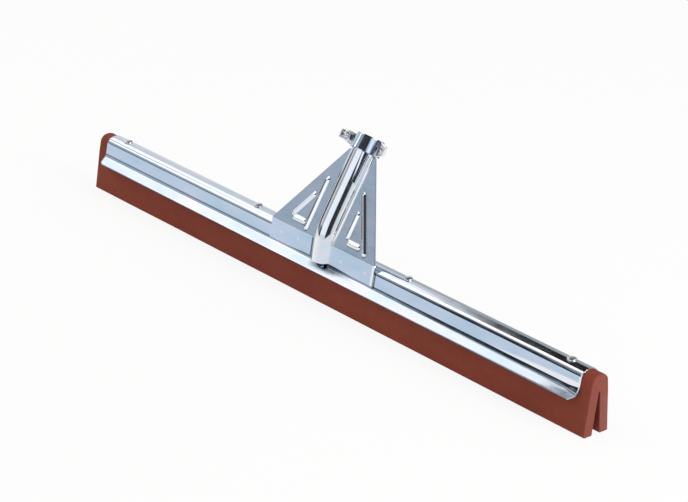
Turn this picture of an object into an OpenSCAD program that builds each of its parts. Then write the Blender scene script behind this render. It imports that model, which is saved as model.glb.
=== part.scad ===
// Floor squeegee head: a red double-blade rubber in a zinc-plated channel, with a leaning
// pressed handle socket and a bolted collar. Millimetres, +X along the rubber, +Y to the rear,
// +Z up, floor at Z = 0, origin below the middle of the bounding box.

/* [Rubber] */
// Length of the rubber
rubber_len = 750; // [500:10:1000]
// Width across both blades at the floor
rubber_w = 32; // [30:0.5:36]
// Thickness of each blade at its tip
blade_t = 10.8; // [8:0.2:12]
// Height of the slot between the blades
slot_h = 44; // [36:0.5:46]
// Width of the slot's roof
slot_roof_w = 1.6; // [1:0.1:3]
// Length of rubber standing out at each end of the channel
rubber_end = 13.8; // [8:0.2:20]
// Gap between the rubber and the inside of the channel
rubber_fit = 0.05; // [0.02:0.01:0.1]

/* [Channel] */
// Outside width across the walls where the lips turn out
channel_w = 26; // [25:0.2:29]
// Thickness of the channel's sheet
channel_t = 1.2; // [0.8:0.1:1.5]
// Angle by which each wall leans in towards the crown
wall_draft = 8; // [4:0.5:10]
// Height of the crown's top above the floor
crown_top = 62.4; // [61:0.2:66]
// Radius of the crown's arch
crown_r = 17; // [15.5:0.5:22]
// Height at which the walls turn out into the lips
lip_z = 42.6; // [41.6:0.2:44]
// Length of each lip
lip_len = 12; // [8:0.2:13]
// Angle of each lip from the vertical
lip_angle = 45; // [35:1:50]
// Leg of the corner cut off each end of a lip
lip_cut = 6; // [2:0.5:8]

/* [Channel rivets] */
// Distance of the outer rivets from the channel's ends
rivet_edge = 23.7; // [15:0.1:40]
// Distance of the inner rivets from the middle
rivet_inner_x = 115; // [95:1:160]
// Diameter of the rivets' shanks
rivet_d = 5; // [4:0.1:6]
// Diameter of the rivets' heads
rivet_head_d = 9.5; // [8:0.1:12]
// Height of the rivets' domes
rivet_head_h = 2.6; // [2:0.1:3.5]
// Diameter of the washers under the rivets' tails
rivet_washer_d = 10.5; // [9.5:0.1:12]
// Thickness of those washers
rivet_washer_t = 1.5; // [1:0.1:2]
// Diameter of the rivets' formed tails
rivet_tail_d = 8; // [7:0.1:9]
// Height of the rivets' formed tails
rivet_tail_h = 1.5; // [1:0.1:2.5]
// Gap under the rivets' heads
seat_gap = 0.05; // [0.02:0.01:0.1]
// Room in the rubber below each rivet's tail
pocket_room = 6; // [4:0.5:8]
// Gap round the washers in the rubber
pocket_gap = 0.4; // [0.3:0.1:1]
// Diametral clearance of the rivets in their holes
rivet_clear = 0.2; // [0.1:0.05:0.4]

/* [Socket plate] */
// Thickness of the plate's sheet
plate_t = 1.5; // [1:0.1:2]
// Width of the flange and of the plate at its bend
plate_w = 156.6; // [140:0.2:180]
// Width of the gussets' top edge
plate_top_w = 37.8; // [37.4:0.2:46]
// Length of the gussets, from the bend to their top edge
plate_slant = 97.4; // [85:0.2:115]
// Height of the bend above the lips, along the channel's wall
flange_len = 22.8; // [21:0.2:28]
// Gap between the channel's lip and the flange's lower edge
flange_gap = 0.3; // [0.2:0.1:2]
// Angle from the vertical by which the gussets and the handle lean to the rear
lean = 30; // [25:1:40]

/* [Stiffening beads] */
// Radius of a bead, from the sheet's rear face
bead_r = 3.2; // [2.6:0.1:4]
// Distance of the tube-side beads from the middle
bead_side_x = 29; // [25:0.5:34]
// Distance of the base beads from the bend
bead_base_s = 9.5; // [7:0.5:14]
// Distance of the slanted beads' centre line from the gusset's edge, along the bend
bead_edge_x = 17; // [14:0.5:20]
// Distance from the bend at which the long beads end
bead_long_s = 58; // [50:1:64]
// Distance from the bend at which the short beads end
bead_short_s = 38.5; // [32:0.5:44]
// Distance from the bend at which the long beads begin
bead_foot_s = 5; // [4:0.5:7]

/* [Handle tube] */
// Diameter of the handle that the tube takes
handle_d = 24; // [22:0.5:26]
// Distance of the nose's axis behind the flange's front face
nose_set = 4.8; // [4:0.1:6]
// Amount by which the nose's radius is smaller than the tube's
nose_step = 0.8; // [0.5:0.1:1.5]
// Distance from the bend at which the rear half begins
rear_start = 11; // [8:0.5:20]
// Half width over the rear half's welding wings
wing_x = 18.4; // [17:0.1:20]
// Angle of each slit from the tube's front line
slit_angle = 53; // [40:1:56]
// Width of a slit at the tube's mouth
slit_top_w = 7; // [4:0.1:8]
// Width of a slit at its foot
slit_foot_w = 2.6; // [1.5:0.1:4]
// Distance of the slits' feet from the bend
slit_foot_s = 67; // [60:1:80]

/* [Collar] */
// Height of the collar along the tube
collar_h = 17; // [14:0.5:20]
// Gap between the gussets' top edge and the collar
collar_gap = 1.1; // [0.5:0.1:3]
// Thickness of the straps
strap_t = 1.5; // [1:0.1:2]
// Gap between the straps and the tube
strap_fit = 0.05; // [0.02:0.01:0.1]
// Gap between the two left ears
ear_gap = 3; // [2:0.5:5]
// Distance of the left ears' ends from the tube's axis
left_ear_x = 34; // [32:0.5:40]
// Distance of the right ears' ends from the tube's axis
right_ear_x = 25.5; // [24.5:0.5:30]
// Height of the ears at their ends
ear_end_h = 9; // [7:0.5:11]
// Length by which the front left ear's end turns forward
tab_len = 6; // [3:0.5:8]
// Distance of the collar's rivet from the tube's axis
collar_rivet_x = 20.5; // [20:0.1:21.5]
// Diameter of the collar's rivet
collar_rivet_d = 3; // [2.5:0.1:3.5]
// Diameter of the heads of the collar's rivet
collar_head_d = 5; // [4.5:0.1:6]
// Height of the heads of the collar's rivet
collar_head_h = 1.4; // [1:0.1:2]

/* [Clamp bolt] */
// Diameter of the clamp bolt
bolt_d = 6; // [5:0.5:6]
// Distance of the bolt from the tube's axis
bolt_x = 23.5; // [22.5:0.1:25]
// Width across flats of the bolt's head and nut
hex_af = 10; // [8:0.5:10]
// Height of the bolt's head
bolt_head_h = 4; // [3:0.5:5]
// Height of the nut
nut_h = 5; // [4:0.5:6]
// Length of bolt standing out of the nut
bolt_end = 2.6; // [2.2:0.1:4]
// Diameter of the washer under the nut
washer_d = 12; // [11:0.5:12.5]
// Thickness of that washer
washer_t = 1.5; // [1:0.1:2]
// Diametral running clearance of the nut and its washer on the bolt
bolt_clear = 0.16; // [0.1:0.02:0.2]
// Diametral clearance of the bolt in the ears
ear_clear = 0.6; // [0.4:0.1:1]

/* [Hidden] */
$fn = 64;

// Reach of the cutting bodies past what they cut
over = 1;
channel_len = rubber_len - 2 * rubber_end;
crown_z = crown_top - crown_r;

// A wall's outer face at a height, set in square to the wall, as a half width
function wall_y(z, inset) = channel_w / 2 - (z - lip_z) * tan(wall_draft) - inset / cos(wall_draft);

// The lip's fold on the sheet's two faces, and the lip's run and facing
crease = [channel_w / 2, lip_z];
lip_run = [sin(lip_angle), -cos(lip_angle)];
lip_facing = [cos(lip_angle), sin(lip_angle)];
wall_facing = [cos(wall_draft), sin(wall_draft)];
inner_crease = crease - channel_t * (wall_facing + lip_facing) / (1 + wall_facing * lip_facing);
lip_reach = channel_w / 2 + lip_len * sin(lip_angle);

// Depth of the rubber's face below the channel's outer face
grip = channel_t + rubber_fit;
// From the lips' folds the rubber widens down to the floor
throat_z = inner_crease[1];
throat_w = wall_y(throat_z, grip);
slot_w = rubber_w - 2 * blade_t;

rivet_outer_x = channel_len / 2 - rivet_edge;
rivet_places = [-rivet_outer_x, -rivet_inner_x, rivet_inner_x, rivet_outer_x];
// The rivets' washers bear on pockets just under the slot's roof
pocket_z = slot_h - over;
pocket_h = rivet_washer_t + rivet_tail_h + pocket_room;
head_ball_r = (pow(rivet_head_h, 2) + pow(rivet_head_d / 2, 2)) / (2 * rivet_head_h);

// The bend's line lies where the flange's and the gussets' front faces meet
bend_y = -channel_w / 2 + flange_len * sin(wall_draft) - plate_t * cos(wall_draft);
bend_z = lip_z + flange_len * cos(wall_draft) + plate_t * sin(wall_draft);
elbow = lean - wall_draft;
foot_z = flange_gap - flange_len;
bore_r = handle_d / 2;
tube_r = bore_r + plate_t;
collar_s = plate_slant + collar_gap;
tube_top_s = collar_s + collar_h - collar_gap / 2;
bolt_s = collar_s + collar_h / 2;
// Slope of the gussets' edges across the plate
edge_slope = (plate_w - plate_top_w) / 2 / plate_slant;

// In the flange's frame, the nose's axis meets the leaning tube's axis on the elbow's mitre
mitre_s = (nose_set - plate_t * cos(elbow)) / sin(elbow);
mitre_z = mitre_s * cos(elbow) - plate_t * sin(elbow);

strap_r = tube_r + strap_fit;
strap_out_r = strap_r + strap_t;
ear_face = ear_gap / 2 + strap_t;
nut_y = ear_face + washer_t;

// Shift that puts the bounding box's middle over the origin
nose_reach = (tube_r - nose_step - nose_set) * cos(wall_draft) - foot_z * sin(wall_draft) - bend_y;
front_reach = max(lip_reach, nose_reach);
rear_reach = bend_y + (plate_t + strap_out_r) * cos(lean) + (collar_s + collar_h) * sin(lean);
shift_y = (front_reach - rear_reach) / 2;

// Places a piece drawn about the blades' mid plane
module placed() {
    translate([0, shift_y, 0]) children();
}

// Flange frame: X across, -Y out of the flange's front face, Z up the flange, from the bend
module on_flange() {
    placed() translate([0, bend_y, bend_z]) rotate([-wall_draft, 0, 0]) children();
}

// From the flange's frame to the gussets', whose front face is again at Y = 0
module lean_back() {
    rotate([-elbow, 0, 0]) children();
}

// Socket frame: the gussets' frame, with Z up the plate from its bend
module on_socket() {
    on_flange() lean_back() children();
}

// Tube frame: as the socket frame, with the tube's axis as its Z axis
module on_tube() {
    on_socket() translate([0, plate_t, 0]) children();
}

// Clamp frame: the bolt's axis is the Y axis, and Y = 0 lies between the ears
module on_clamp() {
    on_tube() translate([-bolt_x, 0, bolt_s]) children();
}

// Extrudes a section drawn in Y and Z along X
module along_x(length) {
    rotate([90, 0, 90]) linear_extrude(length, center = true) children();
}

// Extrudes an outline drawn in X and Z towards -Y, from Y = 0
module towards_front(depth) {
    rotate([90, 0, 0]) linear_extrude(depth) children();
}

// Right-hand outline, bottom to top, with its mirror image on the left
function both_sides(right) = concat(right, [for (i = [len(right) - 1 : -1 : 0]) [-right[i][0], right[i][1]]]);

// Room under an arch of a given radius about the crown's centre
module under_arch(r) {
    translate([0, crown_z]) circle(r);
    translate([-rubber_w, -over]) square([2 * rubber_w, crown_z + over]);
}

// Rubber

module slot_section() {
    polygon([[-slot_w / 2 - slot_w / slot_h, -over], [slot_w / 2 + slot_w / slot_h, -over],
             [slot_roof_w / 2, slot_h], [-slot_roof_w / 2, slot_h]]);
}

// Outside of the rubber, whose head fills the channel
module rubber_section() {
    intersection() {
        polygon(both_sides([[rubber_w / 2, 0], [throat_w, throat_z],
                            [wall_y(crown_top, grip), crown_top]]));
        under_arch(crown_r - grip);
    }
}

module blade_rubber() {
    color("firebrick") placed() difference() {
        along_x(rubber_len) rubber_section();
        along_x(rubber_len + 2 * over) slot_section();
        for (x = rivet_places) {
            translate([x, 0, 0]) cylinder(d = rivet_d + rivet_clear, h = crown_top);
            translate([x, 0, pocket_z - pocket_h]) cylinder(d = rivet_washer_d + 2 * pocket_gap, h = pocket_h);
        }
    }
}

// Channel

// Section of the roll-formed sheet: its outer outline less its inner one
module channel_section() {
    tip = crease + lip_len * lip_run;
    top = crown_top + over;
    difference() {
        intersection() {
            polygon(both_sides([tip - 2 * channel_t * lip_facing, tip, crease, [wall_y(top, 0), top]]));
            under_arch(crown_r);
        }
        intersection() {
            polygon(both_sides([inner_crease + (lip_len + 3 * over) * lip_run, inner_crease,
                                [wall_y(top, channel_t), top]]));
            under_arch(crown_r - channel_t);
        }
    }
}

// Square bar whose edge takes the corner off one end of the rear lip
module lip_corner(end) {
    translate([0, crease[0], crease[1]]) rotate([lip_angle, 0, 0])
        translate([end * channel_len / 2, -channel_t / 2, -lip_len]) rotate([0, 45, 0])
            cube([lip_cut * sqrt(2), channel_t + over, lip_cut * sqrt(2)], center = true);
}

module frame_channel() {
    color("lightsteelblue") placed() difference() {
        along_x(channel_len) channel_section();
        for (end = [-1, 1], front = [0, 1])
            mirror([0, front, 0]) lip_corner(end);
        for (x = rivet_places)
            translate([x, 0, crown_z]) cylinder(d = rivet_d + rivet_clear, h = crown_r + over);
    }
}

// Rivets through the crown and the rubber

module channel_rivet() {
    tail_z = pocket_z - rivet_washer_t - rivet_tail_h;
    difference() {
        rotate_extrude() {
            intersection() {
                translate([0, crown_top + rivet_head_h - head_ball_r]) circle(head_ball_r);
                translate([0, crown_top]) square([rivet_head_d / 2, rivet_head_h + over]);
            }
            translate([0, crown_top - rivet_head_h]) square([rivet_head_d / 2, rivet_head_h]);
        }
        along_x(rivet_head_d + over) translate([0, crown_z]) circle(crown_r + seat_gap);
    }
    translate([0, 0, tail_z]) cylinder(d = rivet_d, h = crown_top + over - tail_z);
    translate([0, 0, tail_z]) cylinder(d = rivet_tail_d, h = rivet_tail_h);
}

module channel_rivets() {
    color("gainsboro") placed() for (x = rivet_places)
        translate([x, 0, 0]) channel_rivet();
}

module rivet_washers() {
    color("silver") placed() for (x = rivet_places)
        translate([x, 0, pocket_z - rivet_washer_t]) difference() {
            cylinder(d = rivet_washer_d, h = rivet_washer_t);
            translate([0, 0, -over]) cylinder(d = rivet_d + rivet_clear, h = rivet_washer_t + 2 * over);
        }
}

// Socket plate

// Section of the bent sheet in the flange's Y and Z
module sheet_section() {
    gusset = [sin(elbow), cos(elbow)];
    through = [cos(elbow), -sin(elbow)];
    polygon([[0, foot_z], [0, 0], plate_slant * gusset, plate_slant * gusset + plate_t * through,
             [plate_t, -plate_t * tan(elbow / 2)], [plate_t, foot_z]]);
}

// Everything behind the middle of the sheet's thickness
module behind_sheet() {
    reach = plate_slant * 2;
    fold = plate_t / 2 * [1, -tan(elbow / 2)];
    along_x(plate_w) polygon([[fold[0], -reach], fold, fold + reach * [sin(elbow), cos(elbow)],
                              [reach, reach * cos(elbow)], [reach, -reach]]);
}

// Flat sheet with its bend, cut to the gussets' slanted edges
module plate_blank() {
    difference() {
        along_x(plate_w) sheet_section();
        lean_back() for (side = [0, 1])
            mirror([side, 0, 0]) translate([0, plate_t + over, 0])
                towards_front(plate_t + 2 * over)
                    polygon([[plate_w / 2, 0], [plate_top_w / 2, plate_slant],
                             [plate_top_w / 2, plate_slant + over],
                             [plate_w / 2 + over, plate_slant + over], [plate_w / 2 + over, 0]]);
    }
}

// Outside of the leaning tube, cut off at the elbow's mitre, with the narrower nose running up
// into it from the flange's lower edge
module tube_and_nose() {
    block = plate_slant * 2;
    nose_up = 2 * nose_step;
    intersection() {
        lean_back() translate([0, plate_t, -tube_r]) rotate([0, 0, 90])
            cylinder(r = tube_r, h = tube_top_s + tube_r);
        translate([0, nose_set, mitre_z]) rotate([-elbow / 2, 0, 0])
            translate([-block / 2, -block / 2, 0]) cube(block);
    }
    translate([0, nose_set, foot_z]) rotate([0, 0, 90])
        cylinder(r = tube_r - nose_step, h = mitre_z + nose_up - foot_z);
}

// Inside of the tube, down to the handle's seat at the elbow, and of the nose
module tube_and_nose_bore() {
    nose_up = bore_r * sin(elbow) * 3 / 4;
    lean_back() translate([0, plate_t, mitre_s]) rotate([0, 0, 90])
        cylinder(r = bore_r, h = tube_top_s - mitre_s + over);
    translate([0, nose_set, foot_z - over]) rotate([0, 0, 90])
        cylinder(r = bore_r - nose_step, h = mitre_z + nose_up - foot_z + over);
}

// Bar with tapered ends along the sheet's rear face, between two places on the gussets
module bead(from, to, r) {
    run = to - from;
    length = norm(run);
    end_r = r * 0.55;
    taper = r * 0.8;
    lean_back() translate([from[0], plate_t, from[1]]) rotate([0, atan2(run[0], run[1]), 0])
        rotate([0, 0, 90]) rotate_extrude()
            polygon([[0, -taper], [end_r, -taper], [r, 0], [r, length], [end_r, length + taper],
                     [0, length + taper]]);
}

// Distance from the middle of the slanted beads' centre line, at a distance from the bend
function slanted_x(s) = plate_w / 2 - bead_edge_x - edge_slope * s;

// Three beads round each gusset's flat: on the left the upright one is long, on the right
// the slanted one
module beads(r) {
    bead_gap = 2 * bead_r + 2 * over;
    base_end_x = slanted_x(bead_base_s) - bead_gap;
    for (side = [-1, 1]) {
        upright_top = side < 0 ? bead_long_s : bead_short_s;
        upright_foot = side < 0 ? bead_foot_s : bead_base_s + bead_gap;
        slanted_top = side < 0 ? bead_short_s : bead_long_s;
        slanted_foot = side < 0 ? bead_base_s + bead_gap / 2 : bead_foot_s;
        base_start_x = bead_side_x + bead_gap;
        bead([side * bead_side_x, upright_foot], [side * bead_side_x, upright_top], r);
        bead([side * slanted_x(slanted_foot), slanted_foot], [side * slanted_x(slanted_top), slanted_top], r);
        bead([side * base_start_x, bead_base_s], [side * base_end_x, bead_base_s], r);
    }
}

// Slit through the tube's wall, widening from its round foot to the mouth
module slit(angle) {
    inside = bore_r / 2;
    top = tube_top_s + over;
    lean_back() translate([0, plate_t, 0]) rotate([0, 0, angle]) translate([0, -inside, 0]) {
        towards_front(bore_r) polygon([[-slit_foot_w / 2, slit_foot_s], [slit_foot_w / 2, slit_foot_s],
                                       [slit_top_w / 2, top], [-slit_top_w / 2, top]]);
        translate([0, 0, slit_foot_s]) rotate([90, 0, 0]) cylinder(d = slit_foot_w, h = bore_r);
    }
}

module socket_plate() {
    color("lightsteelblue") on_flange() difference() {
        union() {
            plate_blank();
            difference() {
                union() {
                    tube_and_nose();
                    beads(bead_r);
                }
                behind_sheet();
            }
        }
        tube_and_nose_bore();
        beads(bead_r - plate_t);
        for (side = [-1, 1])
            slit(side * slit_angle);
    }
}

// Rear half of the tube, with a welding wing along each side
module socket_rear_half() {
    half_len = tube_top_s - rear_start;
    wing_len = plate_slant - collar_gap - rear_start;
    color("lightsteelblue") on_tube() translate([0, 0, rear_start]) difference() {
        union() {
            intersection() {
                cylinder(r = tube_r, h = half_len);
                translate([-tube_r, 0, 0]) cube([2 * tube_r, tube_r, half_len]);
            }
            translate([-wing_x, 0, 0]) cube([2 * wing_x, plate_t, wing_len]);
        }
        translate([0, 0, -over]) cylinder(r = bore_r, h = half_len + 2 * over);
    }
}

// Collar

// Half strap on the tube's front, with its left ear off the middle plane and its right ear on it
module half_strap() {
    root = strap_r + strap_t / 2;
    ear_low = (collar_h - ear_end_h) / 2;
    ear_high = (collar_h + ear_end_h) / 2;
    translate([0, 0, collar_s]) difference() {
        union() {
            intersection() {
                difference() {
                    cylinder(r = strap_out_r, h = collar_h);
                    translate([0, 0, -over]) cylinder(r = strap_r, h = collar_h + 2 * over);
                }
                union() {
                    translate([0, -strap_out_r, 0]) cube([strap_out_r, strap_out_r, collar_h]);
                    translate([-strap_out_r, -strap_out_r, 0])
                        cube([strap_out_r, strap_out_r - ear_gap / 2, collar_h]);
                }
            }
            translate([0, -ear_gap / 2, 0]) towards_front(strap_t)
                polygon([[-root, 0], [-root, collar_h], [-left_ear_x, ear_high], [-left_ear_x, ear_low]]);
            towards_front(strap_t)
                polygon([[root, 0], [root, collar_h], [right_ear_x, ear_high], [right_ear_x, ear_low]]);
        }
        translate([-bolt_x, 0, collar_h / 2]) rotate([90, 0, 0])
            cylinder(d = bolt_d + ear_clear, h = ear_face + over);
        translate([collar_rivet_x, over, collar_h / 2]) rotate([90, 0, 0])
            cylinder(d = collar_rivet_d + rivet_clear, h = strap_t + 2 * over);
    }
}

module collar_front_strap() {
    color("lightsteelblue") on_tube() {
        half_strap();
        translate([-left_ear_x, -ear_face - tab_len, bolt_s - ear_end_h / 2])
            cube([strap_t, tab_len + strap_t, ear_end_h]);
    }
}

module collar_rear_strap() {
    color("lightsteelblue") on_tube() mirror([0, 1, 0]) half_strap();
}

// Dome of a given diameter and height on the plane Z = 0
module dome(d, h) {
    ball_r = (pow(h, 2) + pow(d / 2, 2)) / (2 * h);
    intersection() {
        translate([0, 0, h - ball_r]) sphere(ball_r);
        cylinder(d = d, h = h + over);
    }
}

module collar_rivet() {
    color("gainsboro") on_tube() translate([collar_rivet_x, 0, bolt_s]) rotate([90, 0, 0]) {
        translate([0, 0, -strap_t]) cylinder(d = collar_rivet_d, h = 2 * strap_t);
        for (rear = [0, 1])
            mirror([0, 0, rear]) translate([0, 0, strap_t]) dome(collar_head_d, collar_head_h);
    }
}

// Clamp bolt, its washer and its nut

module hexagon_bar(h) {
    cylinder(d = hex_af / cos(30), h = h, $fn = 6);
}

module clamp_bolt() {
    shank = 2 * ear_face + washer_t + nut_h + bolt_end;
    color("silver") on_clamp() translate([0, ear_face, 0]) {
        rotate([-90, 0, 0]) hexagon_bar(bolt_head_h);
        rotate([90, 0, 0]) cylinder(d = bolt_d, h = shank);
    }
}

module clamp_washer() {
    color("gainsboro") on_clamp() translate([0, -ear_face, 0]) rotate([90, 0, 0]) difference() {
        cylinder(d = washer_d, h = washer_t);
        translate([0, 0, -over]) cylinder(d = bolt_d + bolt_clear, h = washer_t + 2 * over);
    }
}

module clamp_nut() {
    color("silver") on_clamp() translate([0, -nut_y, 0]) rotate([90, 0, 0]) difference() {
        hexagon_bar(nut_h);
        translate([0, 0, -over]) cylinder(d = bolt_d + bolt_clear, h = nut_h + 2 * over);
    }
}

blade_rubber();
frame_channel();
channel_rivets();
rivet_washers();
socket_plate();
socket_rear_half();
collar_front_strap();
collar_rear_strap();
collar_rivet();
clamp_bolt();
clamp_washer();
clamp_nut();
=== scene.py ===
import math

import bmesh
import bpy
from mathutils import Matrix, Vector, noise


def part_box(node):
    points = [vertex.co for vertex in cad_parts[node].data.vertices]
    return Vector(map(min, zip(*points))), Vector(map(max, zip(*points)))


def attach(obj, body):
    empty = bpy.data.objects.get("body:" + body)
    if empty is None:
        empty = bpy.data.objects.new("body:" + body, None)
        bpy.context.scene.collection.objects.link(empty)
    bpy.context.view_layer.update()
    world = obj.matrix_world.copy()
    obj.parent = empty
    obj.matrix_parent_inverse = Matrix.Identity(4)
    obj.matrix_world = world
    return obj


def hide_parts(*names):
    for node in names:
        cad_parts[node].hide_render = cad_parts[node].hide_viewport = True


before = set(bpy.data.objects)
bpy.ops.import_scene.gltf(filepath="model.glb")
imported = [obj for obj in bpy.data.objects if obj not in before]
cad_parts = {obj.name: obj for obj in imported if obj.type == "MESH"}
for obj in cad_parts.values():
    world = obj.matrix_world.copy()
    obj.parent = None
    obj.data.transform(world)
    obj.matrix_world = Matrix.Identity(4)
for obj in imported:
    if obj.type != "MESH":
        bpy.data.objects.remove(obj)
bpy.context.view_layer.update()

MM = 0.001

# Sizes in millimetres, the same values that the solids are made from
RUBBER_LEN = 750.0
RUBBER_W = 32.0
BLADE_T = 10.8
SLOT_H = 44.0
SLOT_ROOF_W = 1.6
GRIP = 1.25
CHANNEL_LEN = 722.4
CHANNEL_W = 26.0
CHANNEL_T = 1.2
WALL_DRAFT = math.radians(8)
CROWN_TOP = 62.4
CROWN_R = 17.0
CROWN_Z = CROWN_TOP - CROWN_R
LIP_Z = 42.6
LIP_LEN = 12.0
LIP_ANGLE = math.radians(45)
LIP_CUT = 6.0
RIVET_INNER_X = 115.0
RIVET_OUTER_X = 337.5
RIVET_SHANK_R = 2.5
RIVET_HEAD_R = 4.75
RIVET_TAIL_R = 4.0
RIVET_WASHER_R = 5.25
PLATE_T = 1.5
PLATE_W = 156.6
PLATE_TOP_W = 37.8
PLATE_SLANT = 97.4
FLANGE_LEN = 22.8
FLANGE_GAP = 0.3
LEAN = math.radians(30)
ELBOW = LEAN - WALL_DRAFT
TUBE_R = 13.5
NOSE_SET = 4.8
NOSE_R = 12.7
SLIT_ANGLE = math.radians(53)
SLIT_TOP_W = 7.0
SLIT_FOOT_W = 2.6
SLIT_FOOT_S = 67.0
REAR_START = 11.0
WING_X = 18.4
COLLAR_S = 98.5
COLLAR_H = 17.0
TUBE_TOP_S = 114.95
STRAP_T = 1.5
STRAP_FIT = 0.05
STRAP_MID_R = TUBE_R + STRAP_FIT + STRAP_T / 2
EAR_GAP = 3.0
EAR_FACE = EAR_GAP / 2 + STRAP_T
EAR_END_H = 9.0
LEFT_EAR_X = 34.0
RIGHT_EAR_X = 25.5
TAB_LEN = 6.0
COLLAR_RIVET_X = 20.5
COLLAR_SHANK_R = 1.5
COLLAR_HEAD_R = 2.5
BOLT_X = 23.5
BOLT_S = COLLAR_S + COLLAR_H / 2
BOLT_R = 3.0
BOLT_HEAD_H = 4.0
BOLT_END = 2.6
HEX_AF = 10.0
NUT_H = 5.0
WASHER_R = 6.0
WASHER_T = 1.5

# Sizes in millimetres that only the scene has: finer than the solids, or given here
RUBBER_END_R = 0.6
RUBBER_HEAD_R = 7.0
RUBBER_SWAY = 0.25
SHOULDER_R = 7.5
LIP_FOLD_R = 9.0
LIP_FOLD_GAIN = 7.0
LEFT_LIP_CUT = LIP_CUT / 2
CHANNEL_EDGE_R = 0.28
CHANNEL_WAVE = 0.055
CHANNEL_RIPPLE = 0.02
# Where a line of painted shade runs on the channel beside the flange's right end
BESIDE_FLANGE_X = 79.6
PLATE_BEND_R = 1.8
PLATE_WAVE = 0.05
TUBE_FILLET = 1.4
TUBE_FOOT_ANGLE = math.radians(77.5)
ELBOW_BLEND = 4.0
ELBOW_LIFT = 0.65
SLIT_BURR = 0.45
FLANGE_CLEAR = 0.9
NOSE_CLEAR = 1.5
BEAD_HALF_W = 3.5
BEAD_RISE = 1.35
WELD_DEPTH = 0.07
STRAP_FLARE = 0.045
THREAD_PITCH = 1.0
THREAD_DEPTH = 0.45

# The blades' middle plane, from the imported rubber, and the plate's bend
rubber_low, rubber_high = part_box("blade_rubber")
MID_Y = (rubber_low.y + rubber_high.y) / 2 / MM
BEND_Y = (MID_Y - CHANNEL_W / 2 + FLANGE_LEN * math.sin(WALL_DRAFT)
          - PLATE_T * math.cos(WALL_DRAFT))
BEND_Z = LIP_Z + FLANGE_LEN * math.cos(WALL_DRAFT) + PLATE_T * math.sin(WALL_DRAFT)


# Places in the part

def leaned(x, y, z, angle):
    """A point given from the bend, in a frame that leans to the rear."""
    return (x, BEND_Y + y * math.cos(angle) + z * math.sin(angle),
            BEND_Z - y * math.sin(angle) + z * math.cos(angle))


def unleaned(place, angle):
    """A point's depth and height from the bend, in a frame that leans to the rear."""
    y, z = place.y - BEND_Y, place.z - BEND_Z
    return (y * math.cos(angle) - z * math.sin(angle),
            y * math.sin(angle) + z * math.cos(angle))


def on_tube(x, y, s):
    """A point about the tube's axis: y to the rear, s up the tube from the bend."""
    return leaned(x, y + PLATE_T, s, LEAN)


def on_crown(x, y, h):
    """A point about an upright axis in the blades' middle plane."""
    return (x, MID_Y + y, h)


def at_clamp(x, y, h):
    """A point about the bolt's axis; h runs towards the front."""
    return on_tube(-BOLT_X + x, -h, BOLT_S + y)


def at_collar_rivet(x, y, h):
    """A point about the collar rivet's axis; h runs towards the front."""
    return on_tube(COLLAR_RIVET_X + x, -h, BOLT_S + y)


# Numbers and outlines

def ease(x, low, high):
    """0 below low, 1 above high, smooth between."""
    t = max(0.0, min(1.0, (x - low) / (high - low)))
    return t * t * (3 - 2 * t)


def soft_min(a, b, blend):
    """The smaller of two lengths, rounded off where they meet."""
    return (a + b - math.sqrt((a - b) ** 2 + blend ** 2)) / 2


def spaced(low, high, count):
    """The ends of a span and the even steps between them."""
    return [low + (high - low) * k / count for k in range(count + 1)]


def wander(a, b, seed):
    """Smooth unevenness about 0, the same in every run."""
    return noise.noise(Vector((a, b, seed)))


def rounded(corners, radii, steps=6):
    """A polyline whose corners are turned into arcs; radius 0 leaves a corner as it is."""
    line = []
    for i, corner in enumerate(corners):
        here = Vector(corner)
        if i in (0, len(corners) - 1) or radii[i] <= 0:
            line.append(here)
            continue
        back = (Vector(corners[i - 1]) - here).normalized()
        ahead = (Vector(corners[i + 1]) - here).normalized()
        half = math.acos(max(-1, min(1, back.dot(ahead)))) / 2
        centre = here + (back + ahead).normalized() * (radii[i] / math.sin(half))
        start = here + back * (radii[i] / math.tan(half)) - centre
        end = here + ahead * (radii[i] / math.tan(half)) - centre
        sweep = math.atan2(start.x * end.y - start.y * end.x, start.dot(end))
        for k in range(steps + 1):
            line.append(centre + Matrix.Rotation(sweep * k / steps, 2) @ start)
    return line


def normals_of(line, closed=False):
    """Left-hand normals along a polyline."""
    out = []
    n = len(line)
    for i in range(n):
        a = line[i - 1] if (closed or i > 0) else line[i]
        b = line[(i + 1) % n] if (closed or i < n - 1) else line[i]
        d = (b - a).normalized()
        out.append(Vector((-d.y, d.x)))
    return out


def resample(line, count):
    """Points at even steps along a polyline."""
    reach = [0.0]
    for a, b in zip(line, line[1:]):
        reach.append(reach[-1] + (b - a).length)
    out = []
    k = 0
    for want in spaced(0.0, reach[-1], count - 1):
        while k < len(line) - 2 and reach[k + 1] < want:
            k += 1
        span = reach[k + 1] - reach[k]
        out.append(line[k].lerp(line[k + 1], (want - reach[k]) / span if span else 0))
    return out


def dome_line(radius, height, base, steps=10):
    """Half outline of a domed head on a base height."""
    ball = (height ** 2 + radius ** 2) / (2 * height)
    rise = base + height - ball
    angles = spaced(math.asin(radius / ball), 0.0, steps)[:-1]
    return [(ball * math.sin(a), rise + ball * math.cos(a)) for a in angles] + [(0.005, base + height)]


# Meshes

def new_object(name, data):
    """An object linked to the scene."""
    obj = bpy.data.objects.new(name, data)
    bpy.context.scene.collection.objects.link(obj)
    return obj


def shade(mesh, sharp):
    """Smooth shading but for edges that turn by more than an angle in degrees."""
    mesh.polygons.foreach_set("use_smooth", [True] * len(mesh.polygons))
    mesh.set_sharp_from_angle(angle=math.radians(sharp))


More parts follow.
